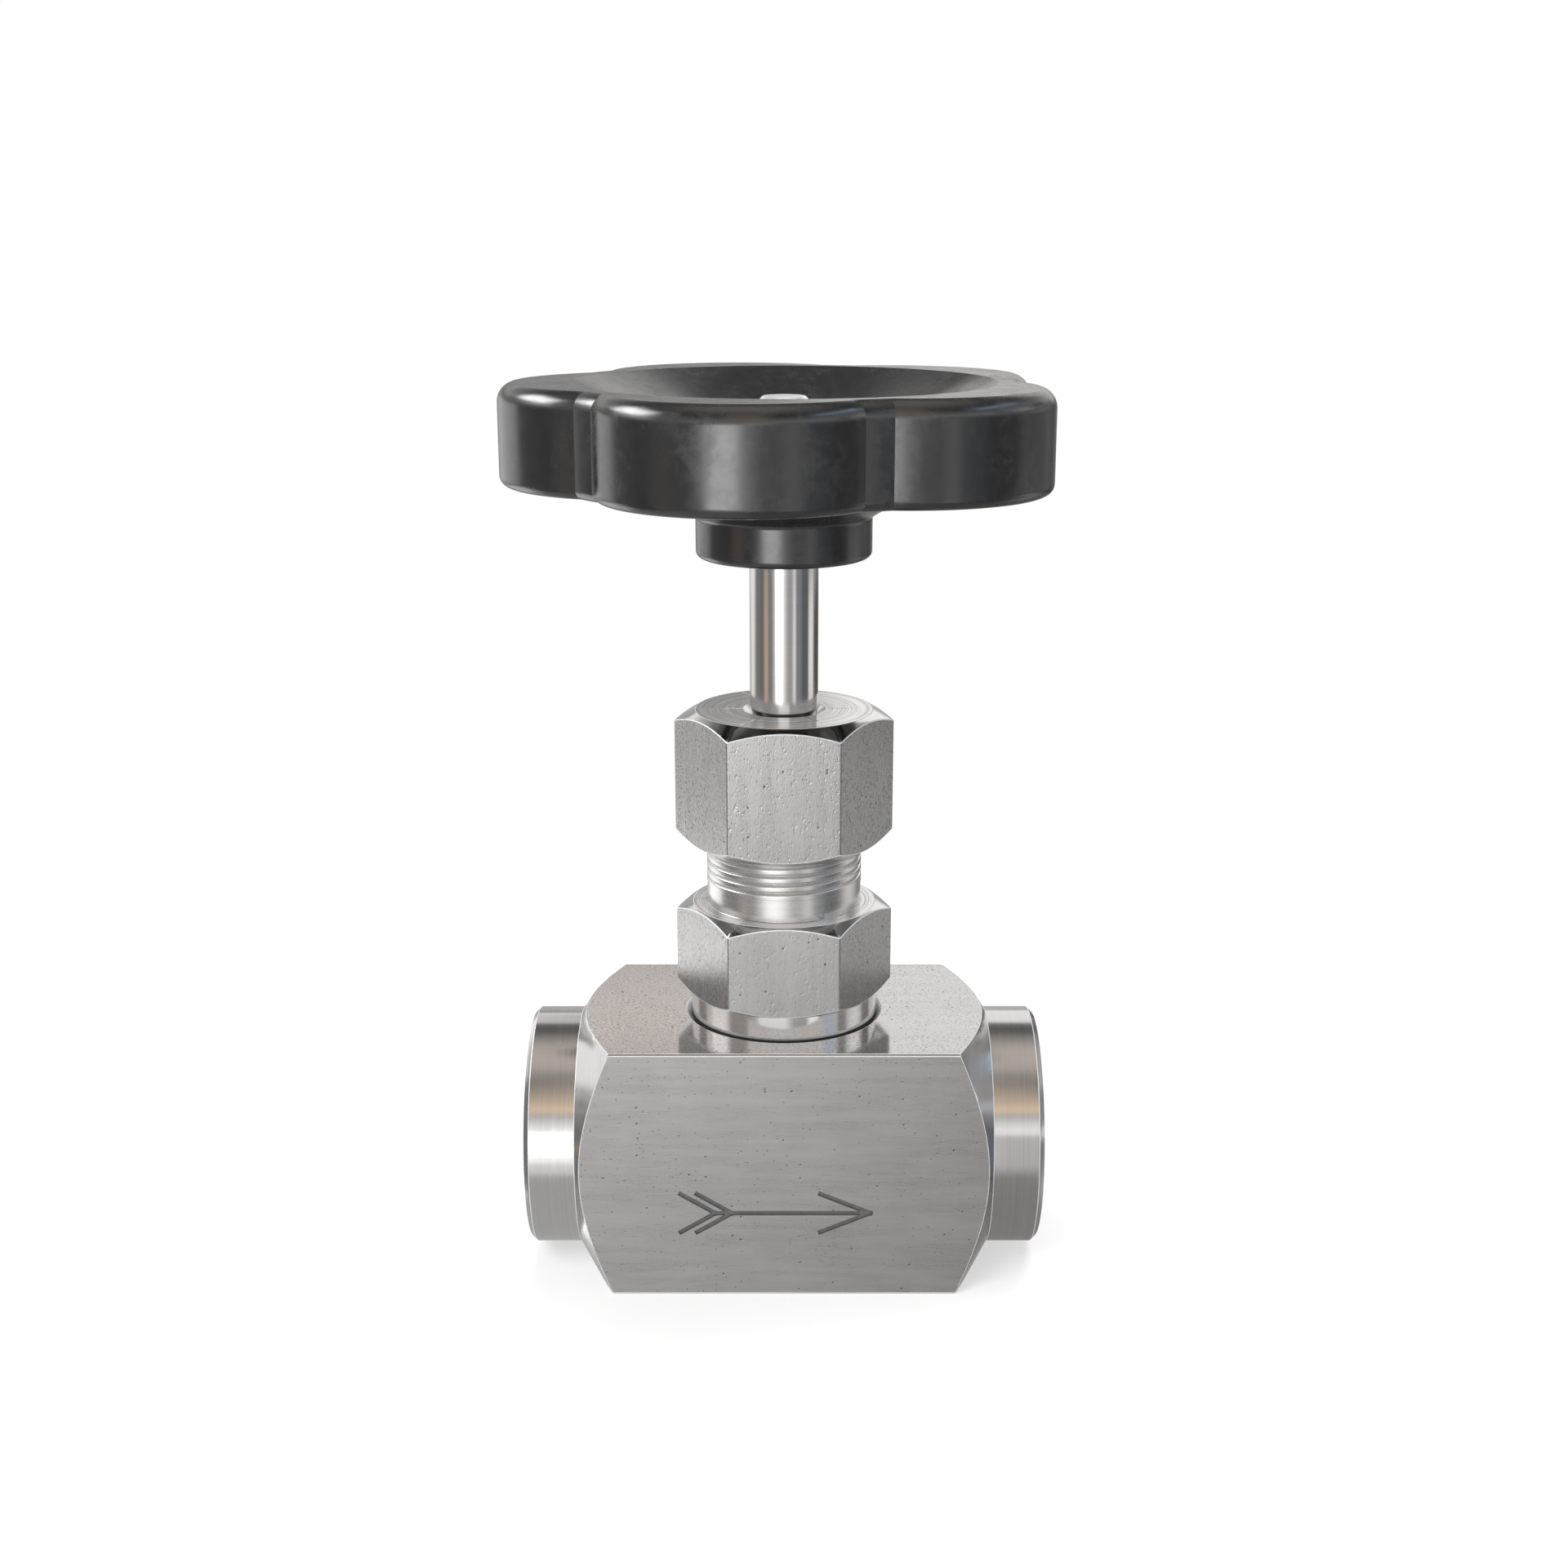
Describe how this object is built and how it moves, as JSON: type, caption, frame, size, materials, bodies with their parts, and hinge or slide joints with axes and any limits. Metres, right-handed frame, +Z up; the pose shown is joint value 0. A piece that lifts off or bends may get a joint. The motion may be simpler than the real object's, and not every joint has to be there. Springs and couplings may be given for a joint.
{
  "type": "needle valve",
  "caption": "Needle valve cut from square bar, with threaded pipe ports, hexagon bonnet, gland nut, polished rising spindle and a lobed black handwheel.",
  "frame": {"origin": "middle of the body's flat underside, on the spindle axis", "axes": "+Z up the spindle, +X along the pipe from the inlet to the outlet, -Y the face with the flow arrow"},
  "size_m": [0.0786, 0.0789, 0.1322],
  "materials": {
    "body_steel": "drawn bar, fine lengthwise grain, turned bosses",
    "bonnet_steel": "drawn hexagon, turned ends",
    "nut_steel": "drawn hexagon, turned ends",
    "spindle_steel": "polished",
    "fastener_steel": "bright",
    "bush_brass": "turned",
    "seal_white": "white fluoropolymer",
    "wheel_plastic": "black moulded phenolic, satin"
  },
  "bodies": {
    "valve": {"valve_body": "body_steel", "bonnet": "bonnet_steel", "bonnet_gasket": "seal_white", "gland_nut": "nut_steel", "gland_slip_washer": "fastener_steel", "gland_follower": "bush_brass", "packing_upper_adapter": "fastener_steel", "packing_ring_upper": "seal_white", "packing_ring_third": "seal_white", "packing_ring_second": "seal_white", "packing_ring_lower": "seal_white", "packing_lower_adapter": "fastener_steel"},
    "needle": {"needle": "spindle_steel"},
    "spindle": {"spindle": "spindle_steel", "needle_pins": "fastener_steel", "thrust_ball": "fastener_steel", "handwheel": "wheel_plastic", "wheel_insert": "bush_brass", "wheel_washer": "fastener_steel", "wheel_spring_washer": "fastener_steel", "wheel_screw": "fastener_steel"}
  },
  "joints": [
    {"name": "needle_lift", "type": "slide", "parent": "valve", "child": "needle", "axis": [0, 0, 1], "range_m": [-0.009, 0]},
    {"name": "handwheel_turn", "type": "hinge", "parent": "needle", "child": "spindle", "pos_m": [0, 0, 0.1], "axis": [0, 0, 1], "range_deg": [-2160, 0]}
  ],
  "couplings": [
    {"joint": "needle_lift", "follows": "handwheel_turn", "m_per_rad": 0.00023873}
  ]
}
